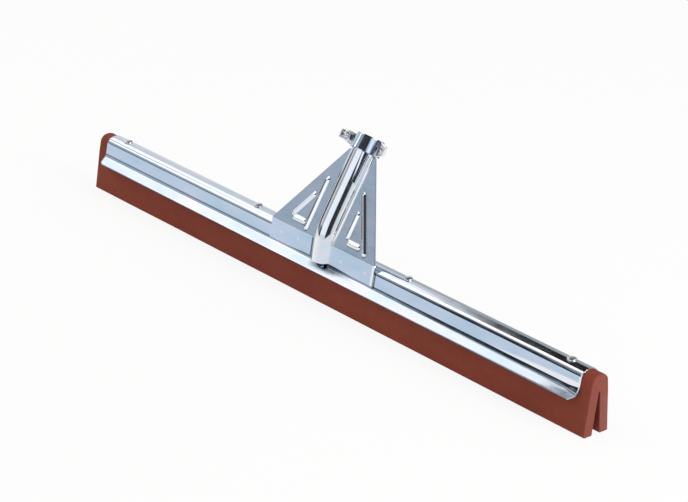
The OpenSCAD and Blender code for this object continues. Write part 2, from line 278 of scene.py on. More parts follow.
def piece_from(name, points, faces, sharp=40):
    """A mesh piece from points in millimetres."""
    mesh = bpy.data.meshes.new(name)
    mesh.from_pydata([(x * MM, y * MM, z * MM) for x, y, z in points], [], faces)
    bm = bmesh.new()
    bm.from_mesh(mesh)
    bmesh.ops.remove_doubles(bm, verts=bm.verts, dist=1e-7)
    bmesh.ops.recalc_face_normals(bm, faces=bm.faces)
    bm.to_mesh(mesh)
    bm.free()
    shade(mesh, sharp)
    return new_object(name, mesh)


def settle(obj, sharp=40):
    """Turns a piece with modifiers into a plain mesh."""
    evaluated = obj.evaluated_get(bpy.context.evaluated_depsgraph_get())
    mesh = bpy.data.meshes.new_from_object(evaluated)
    old = obj.data
    obj.modifiers.clear()
    obj.data = mesh
    bpy.data.meshes.remove(old)
    mesh.name = obj.name
    shade(mesh, sharp)


def round_edges(obj, width, angle):
    """Rounds the edges that turn by more than an angle in degrees."""
    rim = obj.modifiers.new("rim", "BEVEL")
    rim.width = width * MM
    rim.segments = 2
    rim.limit_method = "ANGLE"
    rim.angle_limit = math.radians(angle)


def thicken(obj, thickness, offset, edge=0.3):
    """Gives a sheet its thickness and rounds its cut edges."""
    wall = obj.modifiers.new("wall", "SOLIDIFY")
    wall.thickness = thickness * MM
    wall.offset = offset
    wall.use_even_offset = True
    round_edges(obj, edge, 55)
    settle(obj)


def paint_values(obj, name, value):
    """Keeps a value per point for a material to read; value gets the point in millimetres."""
    layer = obj.data.attributes.new(name, "FLOAT", "POINT")
    layer.data.foreach_set("value", [value(v.co / MM) for v in obj.data.vertices])


def grid_faces(rows, cols, keep=None, closed=False):
    """Faces between rows of points; keep picks them by row and column."""
    faces = []
    for i in range(rows - 1):
        for j in range(cols if closed else cols - 1):
            if keep and not keep(i, j):
                continue
            k = (j + 1) % cols
            faces.append((i * cols + j, i * cols + k, (i + 1) * cols + k, (i + 1) * cols + j))
    return faces


def bar_faces(rows, cols):
    """Faces round a bar of closed rows, with both ends shut."""
    last = (rows - 1) * cols
    ends = [tuple(range(cols)), tuple(reversed(range(last, last + cols)))]
    return grid_faces(rows, cols, closed=True) + ends


def turned(name, outline_at, place, turns=48, closed=False, capped=False, sharp=32):
    """A piece turned about an axis: outline_at gives (radius, height) points at an angle, and
    place puts (x, y, height) in the part."""
    points = []
    for k in range(turns):
        a = 2 * math.pi * k / turns
        outline = outline_at(a)
        points += [place(r * math.cos(a), r * math.sin(a), h) for r, h in outline]
    n = len(outline)
    faces = []
    for k in range(turns):
        m = (k + 1) % turns
        for j in range(n if closed else n - 1):
            i = (j + 1) % n
            faces.append((k * n + j, m * n + j, m * n + i, k * n + i))
    if capped:
        faces.append(tuple(k * n for k in range(turns)))
        faces.append(tuple(k * n + n - 1 for k in reversed(range(turns))))
    return piece_from(name, points, faces, sharp)


# Rubber

def wall_y(z):
    """Half width over the channel's walls at a height."""
    return CHANNEL_W / 2 - (z - LIP_Z) * math.tan(WALL_DRAFT)


def rubber_half():
    """Right half of the rubber's section, from the slot's roof out and up to the top."""
    inset = GRIP / math.cos(WALL_DRAFT)
    throat_z = LIP_Z - 0.5
    shoulder_z = 56.4
    shoulder_y = wall_y(shoulder_z) - inset
    head_r = CROWN_R - GRIP
    slot = rounded([(0, SLOT_H), (SLOT_ROOF_W / 2, SLOT_H - 0.3), (RUBBER_W / 2 - BLADE_T, 0),
                    (RUBBER_W / 2, 0), (wall_y(throat_z) - inset, throat_z)],
                   [0, 0.5, 0.8, 1.2, 0], 4)
    side = resample(slot[-2:], 26)
    arc = spaced(math.acos(shoulder_y / head_r), math.pi / 2, 12)[5:]
    head = [side[-1], Vector((shoulder_y, shoulder_z))]
    head += [Vector((head_r * math.cos(a), CROWN_Z + head_r * math.sin(a))) for a in arc]
    head = rounded(head, [0, RUBBER_HEAD_R] + [0] * (len(head) - 2), 8)
    return slot[:-2] + side[:-1] + resample(head, 34)


def rubber_section(inset):
    """The whole section, pulled in by an inset."""
    half = rubber_half()
    loop = half + [Vector((-p.x, p.y)) for p in reversed(half[1:-1])]
    return [p + n * inset for p, n in zip(loop, normals_of(loop, True))]


def cut_share(place):
    """How pale the cut ends are: palest on the rear blade's lower part."""
    paleness = 0.36 + 0.3 * ease(place.y - MID_Y, 2, 6) * (1 - ease(place.z, 30, 46))
    return paleness * (1 - ease(RUBBER_LEN / 2 - abs(place.x), 0.3, 1.4))


def make_rubber():
    """The double blade, with rounded ends and slightly uneven faces where it stands free."""
    end = RUBBER_LEN / 2
    half = [(end - RUBBER_END_R * (1 - math.cos(a)), RUBBER_END_R * (1 - math.sin(a)))
            for a in spaced(0, math.pi / 2, 4)]
    half += [(x, 0.0) for x in [end - 2.5, end - 6, end - 10] + spaced(end - 14, 0, 24)[:-1]]
    stations = half + [(0.0, 0.0)] + [(-x, inset) for x, inset in reversed(half)]
    points = []
    for x, inset in stations:
        section = rubber_section(inset)
        for p in section:
            sway = RUBBER_SWAY * wander(x / 90, p.y / 30, 5.3) * ease(40 - p.y, 0, 36)
            points.append((x, MID_Y + p.x + sway, p.y))
    faces = bar_faces(len(stations), len(section))
    obj = piece_from("blade_rubber_pair", points, faces, sharp=50)
    paint_values(obj, "cut_end", cut_share)
    return obj


# Channel

def channel_line(lip_len, fold_r):
    """The sheet's outer face, from the top of the crown to the rear lip's tip."""
    low, high = LIP_Z, CROWN_TOP
    for _ in range(40):
        z = (low + high) / 2
        if math.hypot(wall_y(z), z - CROWN_Z) < CROWN_R:
            low = z
        else:
            high = z
    reach = math.asin(wall_y(low) / CROWN_R)
    arc = [(CROWN_R * math.sin(a), CROWN_Z + CROWN_R * math.cos(a)) for a in spaced(0, reach, 18)[:12]]
    tip = (CHANNEL_W / 2 + lip_len * math.sin(LIP_ANGLE), LIP_Z - lip_len * math.cos(LIP_ANGLE))
    corners = arc + [(wall_y(low), low), (CHANNEL_W / 2, LIP_Z), tip]
    steps = 12
    line = rounded(corners, [0] * len(arc) + [SHOULDER_R, fold_r, 0], steps)
    # The straight wall lies between the shoulder's last point and the fold's first
    fold = len(arc) + steps + 1
    wall = resample(line[fold - 1:fold + 1], 9)
    return line[:fold - 1] + wall + line[fold + 1:-1] + resample(line[-2:], 7)[1:]


def channel_loop(lip_len, fold_r, shrink):
    """The section's outer and inner faces as one loop; shrink thins the sheet at its cut ends."""
    half = channel_line(lip_len, fold_r)
    outer = [Vector((-p.x, p.y)) for p in reversed(half[1:])] + half
    facing = normals_of(outer)
    top = [p - n * shrink for p, n in zip(outer, facing)]
    under = [p - n * (CHANNEL_T - shrink) for p, n in zip(outer, facing)]
    return top + under[::-1]


def channel_stations():
    """(place along the rubber, how much the sheet is thinned), from the right end to the left."""
    end = CHANNEL_LEN / 2
    outer = [(end, CHANNEL_EDGE_R), (end - 0.08, CHANNEL_EDGE_R * 0.35), (end - CHANNEL_EDGE_R, 0.0)]
    outer += [(end - d, 0.0) for d in (1.5, 3.0, 4.5)]
    outer += [(end - LIP_CUT - d, 0.0) for d in (0, 2, 4, 7)]
    inner = end - LIP_CUT - 11
    middle = spaced(inner, -inner, 90) + [BESIDE_FLANGE_X + d for d in (-1.2, -0.5, 0.5, 1.2)]
    middle = [(x, 0.0) for x in sorted(middle, reverse=True)]
    return outer + middle + [(-x, shrink) for x, shrink in reversed(outer)]


def channel_painted_sheen(place):
    """How much painted highlight the channel gets: on the crown, and in front at the wall's foot and cut
    edge on the right.
    """
    end = CHANNEL_LEN / 2
    crown = 0.5 * ease(place.z, CROWN_TOP - 4.5, CROWN_TOP - 2)
    above_fold = ease(place.z, LIP_Z + 1.2, LIP_Z + 2)
    band_top = LIP_Z + 2.5 + 5.0 * ease(place.x, 225, 370)
    below_top = 1 - ease(place.z, band_top - 0.6, band_top + 0.6)
    band = ease(place.x, 235, 280) * above_fold * below_top
    cut_edge = ease(place.x, end - 3.0, end - 1.5) * above_fold
    return max(crown, max(band, cut_edge) * (place.y < MID_Y))


def channel_shadow(place):
    """Painted shade in front: spread under the nose, and a line beside the flange's right end."""
    along = ease(place.x, -14, -4) * (1 - ease(place.x, 20, 54))
    reach = 2.8 + 3.4 * (1 - ease(place.x, 14, 40))
    under_nose = 0.9 * along * (1 - ease(abs(place.z - LIP_Z + 1.0), 0.4 * reach, reach))
    on_wall = LIP_Z - 1 < place.z < LIP_Z + 15
    beside = 0.95 * (1 - ease(abs(place.x - BESIDE_FLANGE_X), 0.5, 1.1)) * on_wall
    return max(under_nose, beside) * (place.y < MID_Y)


def make_channel():
    """The roll-formed sheet, slightly wavy; the left lips' corners are cut off less."""
    end = CHANNEL_LEN / 2
    stations = channel_stations()
    points = []
    for x, shrink in stations:
        cut = LIP_CUT if x > 0 else LEFT_LIP_CUT
        lip_len = LIP_LEN - max(0.0, cut - (end - abs(x)))
        fold_r = LIP_FOLD_R + LIP_FOLD_GAIN * (1 - ease(end - x, 0, 16))
        loop = channel_loop(lip_len, fold_r, shrink)
        cols = len(loop)
        for i, p in enumerate(loop):
            k = min(i, cols - 1 - i)
            bow = CHANNEL_WAVE * wander(x / 46, k / 7.0, 3.1)
            bow += CHANNEL_RIPPLE * wander(x / 13, k / 4.0, 8.7)
            points.append((x, MID_Y + p.x, p.y + bow))
    faces = grid_faces(len(stations), cols, closed=True)
    for base in (0, (len(stations) - 1) * cols):
        for i in range(cols // 2 - 1):
            faces.append((base + i, base + i + 1, base + cols - 2 - i, base + cols - 1 - i))
    obj = piece_from("frame_channel_sheet", points, faces, sharp=50)
    round_edges(obj, 0.25, 60)
    settle(obj, 50)
    paint_values(obj, "drawn", channel_painted_sheen)
    paint_values(obj, "fold", channel_shadow)
    return obj


# Socket plate

# Ends of each bead, and middles of the weld spots, as (x, height above the bend)
BEADS = (
    ((-29.0, 5.0), (-29.0, 58.0)),
    ((-52.6, 13.0), (-37.6, 38.3)),
    ((-35.2, 9.3), (-49.4, 9.3)),
    ((28.8, 15.0), (28.8, 38.5)),
    ((58.2, 6.0), (25.4, 58.6)),
    ((33.6, 9.3), (47.4, 9.3)),
)
WELD_SPOTS = ((-36.0, -10.2), (30.0, -12.2), (66.0, -11.7), (-62.0, -11.2))

# Columns of half a row: those that bound the slit, those over the tube, those of the tube that
# run on above the plate, and those over the flat
SLIT_COLS = (10, 16)
BULGE_COLS = 28
NECK_COLS = BULGE_COLS - 4
FLAT_COLS = 78


def bead_rise(x, s):
    """How far the pressed beads stand out of the plate's front face."""
    rise = 0.0
    for (ax, az), (bx, bz) in BEADS:
        run = (bx - ax, bz - az)
        t = ((x - ax) * run[0] + (s - az) * run[1]) / (run[0] ** 2 + run[1] ** 2)
        t = max(0.0, min(1.0, t))
        d = math.hypot(x - ax - t * run[0], s - az - t * run[1])
        if d < BEAD_HALF_W:
            rise = max(rise, BEAD_RISE * (1 + math.cos(math.pi * d / BEAD_HALF_W)) / 2)
    return rise


def weld_dip(x, z):
    """How deep the weld spots are pressed into the flange."""
    return sum(WELD_DEPTH * (1 - ease(math.hypot(x - wx, z - wz), 0.4, 2.6)) for wx, wz in WELD_SPOTS)


def bulge_half(depth, radius, slit, burr):
    """Half a row across the tube: (x, rise) points from its front line to the flat."""
    centre = math.sqrt((radius + TUBE_FILLET) ** 2 - (TUBE_FILLET + depth) ** 2)
    foot = math.atan2(centre, TUBE_FILLET + depth)
    inner, outer = [angle * foot / TUBE_FOOT_ANGLE for angle in slit]
    angles = spaced(0, inner, 10)[:-1] + spaced(inner, outer, 6)[:-1] + spaced(outer, foot, 4)
    row = []
    for j, a in enumerate(angles):
        r = radius + (burr if SLIT_COLS[0] <= j <= SLIT_COLS[1] else 0)
        row.append((r * math.sin(a), r * math.cos(a) - depth))
    for a in spaced(foot, 0, 7)[1:]:
        row.append((centre - TUBE_FILLET * math.sin(a), TUBE_FILLET - TUBE_FILLET * math.cos(a)))
    return row


def slit_slide(column, s):
    """How far a point slides along the tube to round the slit's foot."""
    first, last = SLIT_COLS
    reach = 6
    if not (first < column < last and SLIT_FOOT_S - reach < s <= SLIT_FOOT_S):
        return 0.0
    t = 2 * (column - first) / (last - first) - 1
    return -SLIT_FOOT_W / 2 * math.sqrt(1 - t * t) * (s - SLIT_FOOT_S + reach) / reach


def plate_edge(up):
    """Half width of the plate: even over the flange, narrowing up the gussets."""
    if up <= 0:
        return PLATE_W / 2
    return PLATE_W / 2 - (PLATE_W - PLATE_TOP_W) / 2 * min(up / PLATE_SLANT, 1.0)


def plate_half(lean, up):
    """Half a row of the plate: (x, rise, slide along the sheet) from the middle to the edge."""
    s = max(up, 0.0)
    climb = (NOSE_R - NOSE_SET + ELBOW_LIFT + s * math.sin(lean)) / math.cos(lean)
    front = soft_min(climb, TUBE_R - PLATE_T, ELBOW_BLEND)
    radius = NOSE_R + (TUBE_R - NOSE_R) * ease(s, 0, 12)
    widening = max(0.0, (s - SLIT_FOOT_S) / (TUBE_TOP_S - SLIT_FOOT_S))
    half = (SLIT_FOOT_W + (SLIT_TOP_W - SLIT_FOOT_W) * widening) / 2 / TUBE_R
    burr = SLIT_BURR * ease(s, SLIT_FOOT_S - 4, SLIT_FOOT_S - 1)
    row = bulge_half(radius - front, radius, (SLIT_ANGLE - half, SLIT_ANGLE + half), burr)
    row += [(x, 0.0) for x in spaced(row[-1][0], plate_edge(up), FLAT_COLS)[1:]]
    return [(x, rise, slit_slide(j, s)) for j, (x, rise) in enumerate(row)]


def plate_rows():
    """(place on the bent sheet, lean there, height above the bend) for each row, from the foot."""
    touch = PLATE_BEND_R * math.tan(ELBOW / 2)
    rows = [((0.0, z), 0.0, z) for z in spaced(FLANGE_GAP - FLANGE_LEN, -touch, 30)]
    for a in spaced(0, ELBOW, 8)[1:-1]:
        place = (PLATE_BEND_R - PLATE_BEND_R * math.cos(a), -touch + PLATE_BEND_R * math.sin(a))
        rows.append((place, a, 0.0))
    marks = spaced(touch, SLIT_FOOT_S, 84)
    marks += spaced(SLIT_FOOT_S, PLATE_SLANT, 34)[1:]
    marks += spaced(PLATE_SLANT, TUBE_TOP_S, 10)[1:]
    return rows + [((s * math.sin(ELBOW), s * math.cos(ELBOW)), ELBOW, s) for s in marks]


def plate_points(rows):
    """The bent sheet's front face, with its beads, weld spots, waves and raised lower edge."""
    foot = rows[0][2]
    points = []
    for (py, pz), lean, up in rows:
        half = plate_half(lean, up)
        for x, rise, slide in [(-x, h, d) for x, h, d in reversed(half[1:])] + half:
            if up > 0:
                rise += bead_rise(x, up)
            elif up < 0:
                rise -= weld_dip(x, up)
                by_nose = (1 - ease(abs(x), 14, 55)) * ease(abs(x), 8, 14)
                slide += (FLANGE_CLEAR + NOSE_CLEAR * by_nose) * max(0.0, 1 - (up - foot) / 10)
            rise += PLATE_WAVE * wander(x / 22, (up if up else pz) / 22, 1.7) * ease(abs(x), 14, 20)
            y = py - math.cos(lean) * rise + math.sin(lean) * slide
            z = pz + math.sin(lean) * rise + math.cos(lean) * slide
            points.append(leaned(x, y, z, WALL_DRAFT))
    return points


def plate_painted_sheen(place):
    """How much painted highlight the sheet gets: tube, nose, beads, weld spots, the line by the tube's
    right fold and the flange's right rim.
    """
    up = unleaned(place, LEAN)[1]
    low = unleaned(place, WALL_DRAFT)[1]
    left_of_middle = 1 - ease(abs(place.x + 4), 1, 10)
    share = (1 - ease(abs(place.x), 11.5, 15.5)) * (0.5 + 0.5 * left_of_middle)
    if up > 0:
        share *= ease(place.x, -8, 0)
        bead = ease(bead_rise(place.x, up), 0.1, 0.6)
        right_fold = (place.x > 12) * (1 - ease(place.x, 15.6, 17))
        share = max(share, bead, right_fold)
    if low < 0:
        spot = 0.4 * ease(weld_dip(place.x, low), 0.005, 0.06)
        right_rim = ease(place.x, 74.6, 75.8)
        share = max(share, spot, right_rim)
    return share


def plate_shadow(place):
    """Painted shade in the fold left of the nose."""
    return 0.9 * (place.z < BEND_Z - 1) * (1 - ease(abs(place.x + 14.3), 0.7, 1.7))


def make_socket_plate():
    """Flange, bend, gussets, nose and the tube's front half, pressed from one sheet."""
    rows = plate_rows()
    points = plate_points(rows)
    cols = 2 * (BULGE_COLS + FLAT_COLS) - 1
    middle = cols // 2
    slit_row, neck_row = [next(i for i, row in enumerate(rows) if row[2] > up - 0.01)
                          for up in (SLIT_FOOT_S, PLATE_SLANT)]

    def keep(i, j):
        column = j - middle if j >= middle else middle - 1 - j
        if i >= slit_row and SLIT_COLS[0] <= column < SLIT_COLS[1]:
            return False
        return i < neck_row or column < NECK_COLS

    obj = piece_from("socket_plate_pressing", points, grid_faces(len(rows), cols, keep))
    # Loose points go, and the faces look to the front, so that the sheet thickens to its rear
    bm = bmesh.new()
    bm.from_mesh(obj.data)
    bmesh.ops.delete(bm, geom=[v for v in bm.verts if not v.link_faces], context="VERTS")
    if sum(f.normal.y for f in bm.faces) > 0:
        bmesh.ops.reverse_faces(bm, faces=bm.faces)
    bm.to_mesh(obj.data)
    bm.free()
    thicken(obj, PLATE_T, -1, 0.4)
    paint_values(obj, "drawn", plate_painted_sheen)
    paint_values(obj, "fold", plate_shadow)
    return obj


def make_rear_half():
    """The tube's welded rear half, with a wing behind each gusset."""
    mid_r = TUBE_R - PLATE_T / 2
    wing_y = PLATE_T / 2
    meet = math.acos(wing_y / mid_r)
    corner = mid_r * math.sin(meet) + 0.2
    arc = [(-mid_r * math.sin(a), mid_r * math.cos(a)) for a in spaced(meet, -meet, 30)[2:-2]]
    corners = [(-WING_X, wing_y), (-corner, wing_y)] + arc + [(corner, wing_y), (WING_X, wing_y)]
    line = rounded(corners, [0, 1.6] + [0] * len(arc) + [1.6, 0], 5)
    cols = len(line)
    wing_cols, wing_rows = 7, 40
    wing_end = PLATE_SLANT - 1.1
    marks = spaced(REAR_START, wing_end, wing_rows) + spaced(wing_end, TUBE_TOP_S, 10)[1:]
    points = [on_tube(p.x, p.y, s) for s in marks for p in line]

    def keep(i, j):
        return i < wing_rows or wing_cols <= j < cols - 1 - wing_cols

    # Painted highlight: the tube's inner face is painted lighter
    def inner_painted_sheen(place):
        return float(math.hypot(place.x, unleaned(place, LEAN)[0] - PLATE_T) < mid_r)

    obj = piece_from("socket_rear_shell", points, grid_faces(len(marks), cols, keep))
    thicken(obj, PLATE_T, 0)
    paint_values(obj, "drawn", inner_painted_sheen)
    return obj


# Collar

def strap_line(front):
    """A strap's middle line from the left ear's tip to the right ear's, in short steps."""
    left_y = EAR_GAP / 2 + STRAP_T / 2
    right_y = STRAP_T / 2
    left_x = math.sqrt(STRAP_MID_R ** 2 - left_y ** 2)
    right_x = math.sqrt(STRAP_MID_R ** 2 - right_y ** 2)
    angles = spaced(math.atan2(left_y, -left_x), math.atan2(right_y, right_x), 22)[2:-2]
    ring = [(STRAP_MID_R * math.cos(a), STRAP_MID_R * math.sin(a)) for a in angles]
    tip_x = -LEFT_EAR_X + STRAP_T / 2 if front else -LEFT_EAR_X
    corners = [(tip_x, left_y), (-left_x, left_y)] + ring
    corners += [(right_x, right_y), (RIGHT_EAR_X, right_y)]
    radii = [0, 1.8] + [0] * len(ring) + [1.8, 0]
    if front:
        corners = [(tip_x, EAR_FACE + TAB_LEN)] + corners
        radii = [0, 1.6] + radii[1:]
    line = rounded(corners, radii, 6)
    fine = []
    for a, b in zip(line, line[1:]):
        parts = max(1, int((b - a).length / 1.2))
        fine += [a.lerp(b, k / parts) for k in range(parts)]
    return fine + [line[-1]]


def strap_painted_sheen(place):
    """Painted highlight on the ears."""
    return ease(abs(place.x), 15.5, 17.5)


def strap_shadow(place):
    """Painted shade in the folds between ring and ears."""
    return 0.9 * (1 - ease(abs(abs(place.x) - STRAP_MID_R - 0.6), 0.5, 1.5))


def make_strap(name, front):
    """One strap of the collar; its ears narrow outwards and its lower edge flares a little."""
    side = -1 if front else 1
    line = strap_line(front)
    points = []
    levels = spaced(-1, 1, 14)
    for t in levels:
        for p in line:
            ear = LEFT_EAR_X if p.x < 0 else RIGHT_EAR_X
            out = max(0.0, (abs(p.x) - STRAP_MID_R) / (ear - STRAP_MID_R))
            height = COLLAR_H + (EAR_END_H - COLLAR_H) * min(1.0, out)
            flare = 1 + STRAP_FLARE * (1 - t) * max(0.0, 1 - out * 3)
            points.append(on_tube(p.x * flare, side * p.y * flare, BOLT_S + t * height / 2))
    obj = piece_from(name, points, grid_faces(len(levels), len(line)))
    thicken(obj, STRAP_T, 0, 0.35)
    paint_values(obj, "drawn", strap_painted_sheen)
    paint_values(obj, "fold", strap_shadow)
    return obj


# Fasteners

def make_hexagon(name, bottom, top, bore, place):
    """A hexagon. With a bore it is chamfered at both ends; without one it is shut, and chamfered
    at its top."""
    crown = HEX_AF / 2 * 0.96
    slope = math.tan(math.radians(30))
    sixth = math.pi / 3
    lead = 0.45

    def outline(angle):
        side = HEX_AF / 2 / math.cos((angle + sixth / 2) % sixth - sixth / 2)
        drop = max(0.0, side - crown) * slope
        if bore:
            return [(bore, bottom + lead), (bore + lead, bottom), (crown, bottom),
                    (side, bottom + drop + 0.05), (side, top - drop), (crown, top),
                    (bore + lead, top), (bore, top - lead)]
        return [(0.01, bottom), (side - 0.05, bottom), (side, bottom + 0.05), (side, top - drop),
                (crown, top), (crown - 0.5, top + 0.02), (0.01, top + 0.02)]

    return turned(name, outline, place, 96, closed=bool(bore), capped=not bore, sharp=25)


def make_threaded_bar(name, bottom, top, place):
    """A bar whose upper part carries a screw thread."""
    turns, step, point = 48, 0.1, 0.8
    rows = int((top - bottom) / step)
    points = []
    for h in spaced(bottom, top, rows):
        fade = ease(h, bottom + 1, bottom + 3)
        for k in range(turns):
            phase = (h / THREAD_PITCH - k / turns) % 1.0
            cut = THREAD_DEPTH * (1 - abs(2 * phase - 1)) ** 1.2
            r = min(BOLT_R - cut * fade, BOLT_R - max(0.0, h - (top - point)))
            a = 2 * math.pi * k / turns
            points.append(place(r * math.cos(a), r * math.sin(a), h))
    return piece_from(name, points, bar_faces(rows + 1, turns), sharp=60)


def make_clamp_bolt():
    """Head behind the ears and a threaded shank through them, as one mesh."""
    shank_top = EAR_FACE + WASHER_T + NUT_H + BOLT_END
    head = make_hexagon("clamp_bolt_steel", EAR_FACE, EAR_FACE + BOLT_HEAD_H, None,
                        lambda x, y, h: at_clamp(x, y, -h))
    shank = make_threaded_bar("clamp_bolt_shank", -EAR_FACE - 0.5, shank_top, at_clamp)
    bm = bmesh.new()
    bm.from_mesh(head.data)
    bm.from_mesh(shank.data)
    bm.to_mesh(head.data)
    bm.free()
    bpy.data.objects.remove(shank)
    return head


def make_clamp_washer():
    low, high = EAR_FACE, EAR_FACE + WASHER_T
    line = [(BOLT_R + 0.1, low + 0.2), (BOLT_R + 0.3, low), (WASHER_R - 0.3, low),
            (WASHER_R, low + 0.3), (WASHER_R, high - 0.3), (WASHER_R - 0.3, high),
            (BOLT_R + 0.3, high), (BOLT_R + 0.1, high - 0.2)]
    return turned("clamp_washer_steel", lambda angle: line, at_clamp, 64, closed=True)


def make_clamp_nut():
    low = EAR_FACE + WASHER_T
    return make_hexagon("clamp_nut_steel", low, low + NUT_H, BOLT_R + 0.08, at_clamp)


def make_collar_rivet():
    """A shank with a dome at the front and the rear of the right ears."""
    seat = STRAP_T + 0.2
    front = [(COLLAR_SHANK_R, STRAP_T - 0.3), (COLLAR_HEAD_R, STRAP_T), (COLLAR_HEAD_R, seat)]
    front += dome_line(COLLAR_HEAD_R, 1.2, seat, 8)
    line = [(r, -h) for r, h in reversed(front)] + front
    return turned("collar_rivet_steel", lambda angle: line, at_collar_rivet, 32)


# Nodes

def feed(tree, node, inputs):
    """Sets a node's inputs, given by name or number as values or as sockets to link."""
    for key, given in inputs.items():
        if isinstance(given, bpy.types.NodeSocket):
            tree.links.new(given, node.inputs[key])
        else:
            node.inputs[key].default_value = given


def add_node(tree, kind, inputs):
    node = tree.nodes.new(kind)
    feed(tree, node, inputs)
    return node


def maths(tree, operation, a, b):
    node = tree.nodes.new("ShaderNodeMath")
    node.operation = operation
    feed(tree, node, {0: a, 1: b})
    return node.outputs[0]


def blended(tree, share, first, second, kind="FLOAT"):
    """A number or a colour between two, by a share."""
    node = tree.nodes.new("ShaderNodeMix")
    node.data_type = kind
    feed(tree, node, {"Factor": share, "A": first, "B": second})
    return node.outputs["Result"]


def map_range(tree, value, given, wanted, interpolation="LINEAR"):
    """Takes a value from one span to another."""
    node = tree.nodes.new("ShaderNodeMapRange")
    node.interpolation_type = interpolation
    feed(tree, node, {"Value": value, "From Min": given[0], "From Max": given[1],
                      "To Min": wanted[0], "To Max": wanted[1]})
    return node.outputs[0]


# Rows of rivets and washers

def repeat_tree(name, pattern):
    """A node tree that sets four copies of one piece along the rubber, with named distances."""
    tree = bpy.data.node_groups.new(name, "GeometryNodeTree")
    face = tree.interface
    face.new_socket("Geometry", in_out="INPUT", socket_type="NodeSocketGeometry")
    keys = {}
    for label, kind in (("Inner distance", "Float"), ("Outer distance", "Float"), ("Finish", "Material")):
        socket = face.new_socket(label, in_out="INPUT", socket_type="NodeSocket" + kind)
        keys[label] = socket.identifier
    face.new_socket("Geometry", in_out="OUTPUT", socket_type="NodeSocketGeometry")
    given = tree.nodes.new("NodeGroupInput")
    shape = add_node(tree, "GeometryNodeObjectInfo", {"Object": pattern})
    joined = tree.nodes.new("GeometryNodeJoinGeometry")
    for source in ("Inner distance", "Outer distance"):
        for sign in (-1.0, 1.0):
            x = maths(tree, "MULTIPLY", given.outputs[source], sign)
            spot = add_node(tree, "ShaderNodeCombineXYZ", {"X": x})
            point = add_node(tree, "GeometryNodePoints", {"Count": 1, "Position": spot.outputs[0]})
            tree.links.new(point.outputs[0], joined.inputs[0])
    copies = add_node(tree, "GeometryNodeInstanceOnPoints",
                      {"Points": joined.outputs[0], "Instance": shape.outputs["Geometry"]})
    real = add_node(tree, "GeometryNodeRealizeInstances", {0: copies.outputs[0]})
    paint = add_node(tree, "GeometryNodeSetMaterial",
                     {"Geometry": real.outputs[0], "Material": given.outputs["Finish"]})
    add_node(tree, "NodeGroupOutput", {0: paint.outputs[0]})
    return tree, keys


def repeated(name, pattern, finish):
    """The four copies of a rivet or washer as one plain mesh."""
    tree, keys = repeat_tree(name + "_row", pattern)
    obj = new_object(name, bpy.data.meshes.new(name))
    row = obj.modifiers.new("row", "NODES")
    row.node_group = tree
    row[keys["Inner distance"]] = RIVET_INNER_X * MM
    row[keys["Outer distance"]] = RIVET_OUTER_X * MM
    row[keys["Finish"]] = finish
    settle(obj, 32)
    bpy.data.objects.remove(pattern)
    return obj


def make_channel_rivets(finish):
    """Rivets from the slot's roof up through the crown, with flat, rounded heads."""
    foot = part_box("channel_rivets")[0].z / MM
    seat, rim = CROWN_TOP - 0.3, CROWN_TOP + 0.7
    tail = [(0.005, foot), (RIVET_TAIL_R - 0.6, foot), (RIVET_TAIL_R, foot + 0.5),
            (RIVET_TAIL_R - 0.1, foot + 1.2)]
    shank = [(RIVET_SHANK_R, foot + 1.5), (RIVET_SHANK_R, seat)]
    head = [(RIVET_HEAD_R - 0.25, seat), (RIVET_HEAD_R, seat + 0.2), (RIVET_HEAD_R, rim),
            (RIVET_HEAD_R - 0.1, rim + 0.3), (RIVET_HEAD_R - 0.4, rim + 0.55),
            (RIVET_HEAD_R - 0.85, rim + 0.7)]
    line = tail + shank + head + dome_line(3.6, 0.35, rim + 0.75)
    return repeated("channel_rivet_row", turned("rivet_pattern", lambda angle: line, on_crown), finish)


def make_rivet_washers(finish):
    low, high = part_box("rivet_washers")
    base, top = low.z / MM, high.z / MM
    hole, rim = RIVET_SHANK_R + 0.1, RIVET_WASHER_R
    line = [(hole, base + 0.2), (hole + 0.2, base), (rim - 0.25, base), (rim, base + 0.25),
            (rim, top - 0.25), (rim - 0.25, top), (hole + 0.2, top), (hole, top - 0.2)]
    pattern = turned("washer_pattern", lambda angle: line, on_crown, closed=True)
    return repeated("rivet_washer_row", pattern, finish)


# Materials

# Tones of the painted highlights, then of the painted shade
PAINTED_SHEEN_TONES = ((0.3, (0.78, 0.81, 0.84)), (0.6, (0.84, 0.85, 0.88)))
PAINTED_SHADE_TONE = (0.05, 0.065, 0.085, 1)
SHEET_TONES = ((0.3, (0.41, 0.55, 0.69)), (0.5, (0.475, 0.59, 0.74)), (0.72, (0.56, 0.61, 0.78)))
FASTENER_TONES = ((0.3, (0.55, 0.58, 0.63)), (0.5, (0.66, 0.69, 0.74)), (0.72, (0.76, 0.79, 0.83)))
MOULDED_TONES = ((0.25, (0.19, 0.033, 0.016)), (0.5, (0.218, 0.039, 0.019)), (0.8, (0.25, 0.049, 0.025)))
CUT_TONES = ((0.3, (0.25, 0.08, 0.068)), (0.55, (0.295, 0.106, 0.092)), (0.75, (0.36, 0.155, 0.135)))


def new_material(name):
    mat = bpy.data.materials.new(name)
    mat.use_nodes = True
    tree = mat.node_tree
    where = tree.nodes.new("ShaderNodeTexCoord")
    return mat, tree, tree.nodes["Principled BSDF"], where.outputs["Object"]


def attribute(tree, name):
    """A value painted on the piece; 0 where it has none."""
    node = tree.nodes.new("ShaderNodeAttribute")
    node.attribute_name = name
    return node.outputs["Fac"]


def cloud(tree, where, scale, detail=4.0, stretch=(1, 1, 1), rough=0.5):
    """Cloudy unevenness from 0 to 1."""
    place = add_node(tree, "ShaderNodeMapping", {"Vector": where, "Scale": stretch})
    tex = add_node(tree, "ShaderNodeTexNoise", {"Vector": place.outputs[0], "Scale": scale,
                                                "Detail": detail, "Roughness": rough})
    return tex.outputs["Fac"]


